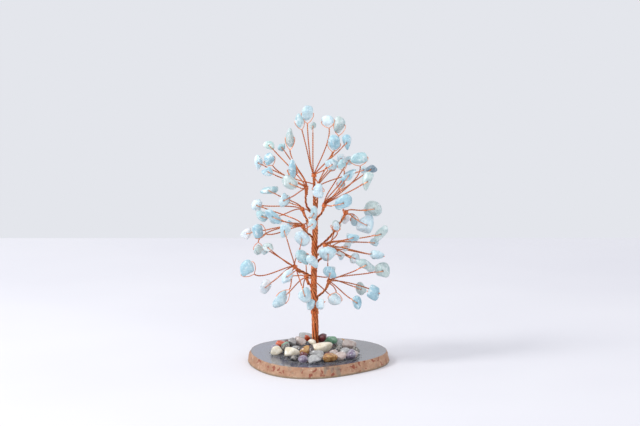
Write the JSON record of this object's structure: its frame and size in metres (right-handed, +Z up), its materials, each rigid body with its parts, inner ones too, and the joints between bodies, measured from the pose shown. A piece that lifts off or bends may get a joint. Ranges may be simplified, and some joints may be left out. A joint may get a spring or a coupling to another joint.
{
  "type": "gemstone chip tree ornament",
  "caption": "Small tree of life twisted from copper wire, with drilled stone chips as leaves on bendable boughs, standing in tumbled stones on an agate slice.",
  "frame": {"origin": "on the trunk's axis at the flat underside of the agate slice", "axes": "+Z up along the trunk, the tree's front faces -Y, +X to the right as seen from the front"},
  "size_m": [0.0761, 0.0718, 0.1305],
  "materials": {
    "copper_wire": "satin",
    "aquamarine": "polished",
    "agate": "polished top, natural rough rind",
    "clear_glue": "gloss",
    "red_jasper": "polished",
    "cream_stone": "polished",
    "grey_quartz": "polished",
    "amethyst": "polished",
    "speckled_stone": "polished",
    "garnet": "polished",
    "tiger_eye": "polished",
    "aventurine": "polished",
    "rose_stone": "polished"
  },
  "bodies": {
    "base": {"agate_slice": "agate", "glue_bed": "clear_glue", "root_wires": "copper_wire", "trunk_core": "copper_wire", "trunk_strands": "copper_wire", "trunk_binding": "copper_wire", "jasper_stones": "red_jasper", "cream_stones": "cream_stone", "quartz_stones": "grey_quartz", "amethyst_stones": "amethyst", "speckled_stones": "speckled_stone", "garnet_stones": "garnet", "tiger_eye_stones": "tiger_eye", "aventurine_stones": "aventurine", "rose_stones": "rose_stone"},
    "bough_crown": {"stem_crown": "copper_wire", "twigs_crown": "copper_wire", "chips_crown": "aquamarine"},
    "bough_upper_left": {"stem_upper_left": "copper_wire", "twigs_upper_left": "copper_wire", "chips_upper_left": "aquamarine"},
    "bough_upper_right": {"stem_upper_right": "copper_wire", "twigs_upper_right": "copper_wire", "chips_upper_right": "aquamarine"},
    "bough_right": {"stem_right": "copper_wire", "twigs_right": "copper_wire", "chips_right": "aquamarine"},
    "bough_mid_left": {"stem_mid_left": "copper_wire", "twigs_mid_left": "copper_wire", "chips_mid_left": "aquamarine"},
    "bough_mid_right": {"stem_mid_right": "copper_wire", "twigs_mid_right": "copper_wire", "chips_mid_right": "aquamarine"},
    "bough_low_left": {"stem_low_left": "copper_wire", "twigs_low_left": "copper_wire", "chips_low_left": "aquamarine"},
    "bough_low_right": {"stem_low_right": "copper_wire", "twigs_low_right": "copper_wire", "chips_low_right": "aquamarine"},
    "bough_front_mid": {"stem_front_mid": "copper_wire", "twigs_front_mid": "copper_wire", "chips_front_mid": "aquamarine"},
    "bough_front_low": {"stem_front_low": "copper_wire", "twigs_front_low": "copper_wire", "chips_front_low": "aquamarine"},
    "bough_back_top": {"stem_back_top": "copper_wire", "twigs_back_top": "copper_wire", "chips_back_top": "aquamarine"},
    "bough_back_left": {"stem_back_left": "copper_wire", "twigs_back_left": "copper_wire", "chips_back_left": "aquamarine"},
    "bough_back_right": {"stem_back_right": "copper_wire", "twigs_back_right": "copper_wire", "chips_back_right": "aquamarine"},
    "bough_back_low": {"stem_back_low": "copper_wire", "twigs_back_low": "copper_wire", "chips_back_low": "aquamarine"}
  },
  "joints": [
    {"name": "bend_crown", "type": "hinge", "parent": "base", "child": "bough_crown", "pos_m": [0, 0, 0.08086], "axis": [0, -1, 0], "range_deg": [-4, 4]},
    {"name": "bend_upper_left", "type": "hinge", "parent": "base", "child": "bough_upper_left", "pos_m": [-0.00205, -0.00098, 0.078], "axis": [-0.4299, 0.9029, 0], "range_deg": [-7, 7]},
    {"name": "bend_upper_right", "type": "hinge", "parent": "base", "child": "bough_upper_right", "pos_m": [0.00199, -0.00115, 0.075], "axis": [-0.4997, -0.8662, 0], "range_deg": [-6, 6]},
    {"name": "bend_right", "type": "hinge", "parent": "base", "child": "bough_right", "pos_m": [0.00231, 0.00085, 0.0595], "axis": [0.3436, -0.9391, 0], "range_deg": [-8, 8]},
    {"name": "bend_mid_left", "type": "hinge", "parent": "base", "child": "bough_mid_left", "pos_m": [-0.00223, -0.00088, 0.0655], "axis": [-0.3688, 0.9295, 0], "range_deg": [-7, 7]},
    {"name": "bend_mid_right", "type": "hinge", "parent": "base", "child": "bough_mid_right", "pos_m": [0.00222, -0.00115, 0.056], "axis": [-0.4594, -0.8882, 0], "range_deg": [-5, 5]},
    {"name": "bend_low_left", "type": "hinge", "parent": "base", "child": "bough_low_left", "pos_m": [-0.00251, -0.0007, 0.045], "axis": [-0.2676, 0.9635, 0], "range_deg": [-4, 4]},
    {"name": "bend_low_right", "type": "hinge", "parent": "base", "child": "bough_low_right", "pos_m": [0.00258, -0.00083, 0.035], "axis": [-0.3052, -0.9523, 0], "range_deg": [-6, 6]},
    {"name": "bend_front_mid", "type": "hinge", "parent": "base", "child": "bough_front_mid", "pos_m": [-0.00019, -0.00258, 0.047], "axis": [-0.9974, 0.0725, 0], "range_deg": [-8, 8]},
    {"name": "bend_front_low", "type": "hinge", "parent": "base", "child": "bough_front_low", "pos_m": [0.00012, -0.00277, 0.029], "axis": [-0.9991, -0.0434, 0], "range_deg": [-6, 6]},
    {"name": "bend_back_top", "type": "hinge", "parent": "base", "child": "bough_back_top", "pos_m": [0.00051, 0.00223, 0.076], "axis": [0.9749, -0.2228, 0], "range_deg": [-6, 6]},
    {"name": "bend_back_left", "type": "hinge", "parent": "base", "child": "bough_back_left", "pos_m": [-0.00166, 0.00166, 0.07], "axis": [0.7071, 0.7071, 0], "range_deg": [-8, 8]},
    {"name": "bend_back_right", "type": "hinge", "parent": "base", "child": "bough_back_right", "pos_m": [0.00199, 0.00157, 0.052], "axis": [0.6178, -0.7863, 0], "range_deg": [-7, 7]},
    {"name": "bend_back_low", "type": "hinge", "parent": "base", "child": "bough_back_low", "pos_m": [-0.00139, 0.00229, 0.038], "axis": [0.8555, 0.5178, 0], "range_deg": [-8, 8]}
  ]
}
